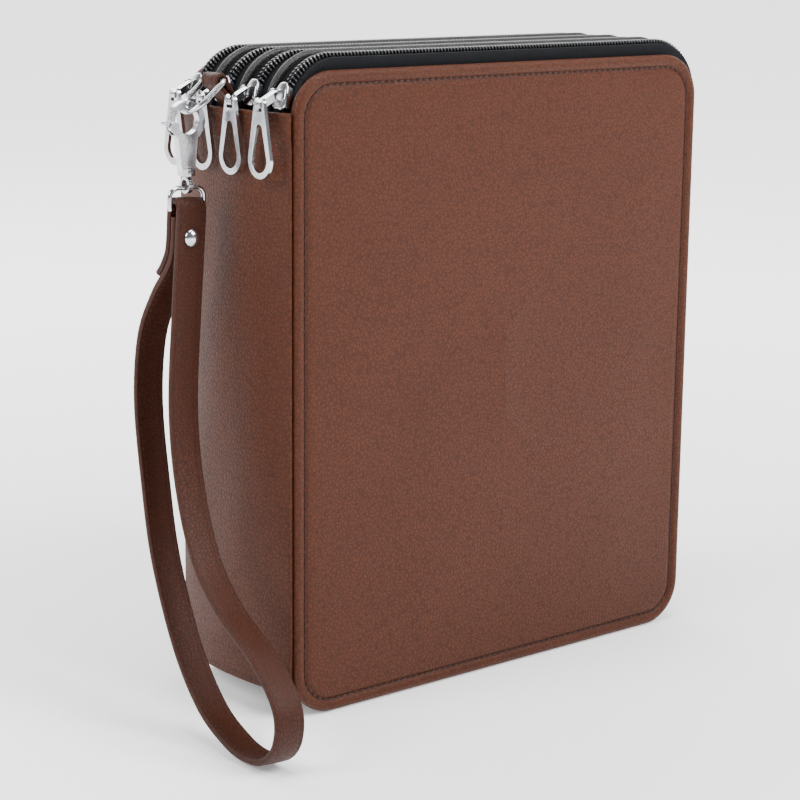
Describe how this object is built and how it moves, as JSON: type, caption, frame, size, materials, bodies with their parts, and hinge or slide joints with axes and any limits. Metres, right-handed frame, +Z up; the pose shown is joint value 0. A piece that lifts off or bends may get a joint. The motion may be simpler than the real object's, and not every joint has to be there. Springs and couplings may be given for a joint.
{
  "type": "zippered bible case",
  "caption": "Leather book case whose zipped compartments open like leaves from a shared spine, with metal pulls and a clip-on wrist strap.",
  "frame": {"origin": "on the floor, at the middle of the middle leaf's bottom edge", "axes": "+X from the spine to the opening edge, +Y from the front cover to the back cover, +Z up"},
  "size_m": [0.2455, 0.1122, 0.2413],
  "materials": {
    "cover_leather": "pebbled brown PU leather, semi-matt",
    "strap_leather": "pebbled brown PU leather, stitched edges",
    "board": "grey binder's board",
    "thread": "dark red-brown sewing thread",
    "lining": "black woven polyester",
    "zip_tape": "woven polyester zip tape",
    "zip_coil": "black nylon coil",
    "piping": "black bound edge",
    "elastic": "black elastic band",
    "hardware": "polished nickel-plated zinc"
  },
  "bodies": {
    "leaf_2": {"leaf_2_panel": "lining", "leaf_2_piping": "piping", "leaf_2_elastic": "elastic", "leaf_2_tapes": "zip_tape", "leaf_2_teeth": "zip_coil", "spine_middle": "cover_leather", "strap_tab": "cover_leather"},
    "leaf_1": {"leaf_1_panel": "lining", "leaf_1_piping": "piping", "leaf_1_elastic": "elastic", "leaf_1_tapes": "zip_tape", "leaf_1_teeth": "zip_coil", "spine_front": "cover_leather", "corner_2": "zip_tape"},
    "front_cover": {"front_cover_leather": "cover_leather", "front_cover_board": "board", "front_cover_lining": "lining", "front_cover_stitching": "thread", "front_zip_tape": "zip_tape", "front_zip_teeth": "zip_coil", "corner_1": "zip_tape"},
    "leaf_3": {"leaf_3_panel": "lining", "leaf_3_piping": "piping", "leaf_3_elastic": "elastic", "leaf_3_tapes": "zip_tape", "leaf_3_teeth": "zip_coil", "spine_back": "cover_leather", "corner_3": "zip_tape"},
    "back_cover": {"back_cover_leather": "cover_leather", "back_cover_board": "board", "back_cover_lining": "lining", "back_cover_stitching": "thread", "back_zip_tape": "zip_tape", "back_zip_teeth": "zip_coil", "corner_4": "zip_tape"},
    "slider_1": {"slider_1": "hardware"},
    "link_1": {"link_1": "hardware"},
    "pull_1": {"pull_1": "hardware"},
    "slider_2": {"slider_2": "hardware"},
    "link_2": {"link_2": "hardware"},
    "pull_2": {"pull_2": "hardware"},
    "slider_3": {"slider_3": "hardware"},
    "link_3": {"link_3": "hardware"},
    "pull_3": {"pull_3": "hardware"},
    "slider_4": {"slider_4": "hardware"},
    "link_4": {"link_4": "hardware"},
    "pull_4": {"pull_4": "hardware"},
    "tab_ring": {"tab_ring": "hardware"},
    "snap_hook": {"snap_hook": "hardware", "gate_pin": "hardware"},
    "hook_gate": {"hook_gate": "hardware"},
    "swivel_eye": {"swivel_eye": "hardware"},
    "strap_ring": {"strap_ring": "hardware"},
    "strap": {"strap": "strap_leather", "strap_rivet": "hardware"}
  },
  "joints": [
    {"name": "leaf_1_fold", "type": "hinge", "parent": "leaf_2", "child": "leaf_1", "pos_m": [-0.10601, -0.00875, 0.1175], "axis": [0, 0, -1], "range_deg": [0, 30], "deforming": ["corner_2", "spine_front"]},
    {"name": "front_cover_fold", "type": "hinge", "parent": "leaf_1", "child": "front_cover", "pos_m": [-0.1018, -0.035, 0.1175], "axis": [0, 0, -1], "range_deg": [0, 110], "deforming": ["corner_1"]},
    {"name": "leaf_3_fold", "type": "hinge", "parent": "leaf_2", "child": "leaf_3", "pos_m": [-0.10601, 0.00875, 0.1175], "axis": [0, 0, 1], "range_deg": [0, 45], "deforming": ["corner_3", "spine_back"]},
    {"name": "back_cover_fold", "type": "hinge", "parent": "leaf_3", "child": "back_cover", "pos_m": [-0.1018, 0.035, 0.1175], "axis": [0, 0, 1], "range_deg": [0, 120], "deforming": ["corner_4"]},
    {"name": "slider_1_travel", "type": "hinge", "parent": "leaf_1", "child": "slider_1", "pos_m": [-0.0785, -0.02625, 0.2195], "axis": [0, 1, 0], "range_deg": [0, 58]},
    {"name": "link_1_swing", "type": "hinge", "parent": "slider_1", "child": "link_1", "pos_m": [-0.10194, -0.02625, 0.22712], "axis": [0, 1, 0], "range_deg": [0, 60]},
    {"name": "pull_1_swing", "type": "hinge", "parent": "link_1", "child": "pull_1", "pos_m": [-0.10863, -0.02625, 0.22371], "axis": [0, 1, 0], "range_deg": [0, 90]},
    {"name": "slider_2_travel", "type": "hinge", "parent": "leaf_2", "child": "slider_2", "pos_m": [-0.0785, -0.00875, 0.2195], "axis": [0, 1, 0], "range_deg": [0, 8]},
    {"name": "link_2_swing", "type": "hinge", "parent": "slider_2", "child": "link_2", "pos_m": [-0.10194, -0.00875, 0.22712], "axis": [0, 1, 0], "range_deg": [0, 8]},
    {"name": "pull_2_swing", "type": "hinge", "parent": "link_2", "child": "pull_2", "pos_m": [-0.10863, -0.00875, 0.22371], "axis": [0, 1, 0], "range_deg": [0, 25]},
    {"name": "slider_3_travel", "type": "hinge", "parent": "leaf_2", "child": "slider_3", "pos_m": [-0.0785, 0.00875, 0.2195], "axis": [0, 1, 0], "range_deg": [0, 8]},
    {"name": "link_3_swing", "type": "hinge", "parent": "slider_3", "child": "link_3", "pos_m": [-0.10194, 0.00875, 0.22712], "axis": [0, 1, 0], "range_deg": [0, 8]},
    {"name": "pull_3_swing", "type": "hinge", "parent": "link_3", "child": "pull_3", "pos_m": [-0.10863, 0.00875, 0.22371], "axis": [0, 1, 0], "range_deg": [0, 25]},
    {"name": "slider_4_travel", "type": "hinge", "parent": "leaf_3", "child": "slider_4", "pos_m": [-0.0785, 0.02625, 0.2195], "axis": [0, 1, 0], "range_deg": [0, 58]},
    {"name": "link_4_swing", "type": "hinge", "parent": "slider_4", "child": "link_4", "pos_m": [-0.10194, 0.02625, 0.22712], "axis": [0, 1, 0], "range_deg": [0, 60]},
    {"name": "pull_4_swing", "type": "hinge", "parent": "link_4", "child": "pull_4", "pos_m": [-0.10863, 0.02625, 0.22371], "axis": [0, 1, 0], "range_deg": [0, 90]},
    {"name": "tab_ring_swing", "type": "hinge", "parent": "leaf_2", "child": "tab_ring", "pos_m": [-0.1095, 0, 0.2305], "axis": [0, 1, 0], "range_deg": [0, 80]},
    {"name": "snap_hook_swing", "type": "hinge", "parent": "tab_ring", "child": "snap_hook", "pos_m": [-0.12176, 0, 0.22021], "axis": [0, 1, 0], "range_deg": [0, 40]},
    {"name": "hook_gate_press", "type": "hinge", "parent": "snap_hook", "child": "hook_gate", "pos_m": [-0.1273, 0, 0.2149], "axis": [0, 1, 0], "range_deg": [0, 20], "stiffness_Nm_per_rad": 0.004, "springref_deg": -11.46},
    {"name": "hook_swivel", "type": "hinge", "parent": "snap_hook", "child": "swivel_eye", "pos_m": [-0.12176, 0, 0.19772], "axis": [0, 0, -1], "range_deg": [-8, 15]},
    {"name": "strap_ring_swing", "type": "hinge", "parent": "swivel_eye", "child": "strap_ring", "pos_m": [-0.12176, 0, 0.19351], "axis": [1, 0, 0], "range_deg": [-15, 15]},
    {"name": "strap_swing", "type": "hinge", "parent": "strap_ring", "child": "strap", "pos_m": [-0.12176, 0, 0.18612], "axis": [1, 0, 0], "range_deg": [-10, 10]}
  ]
}
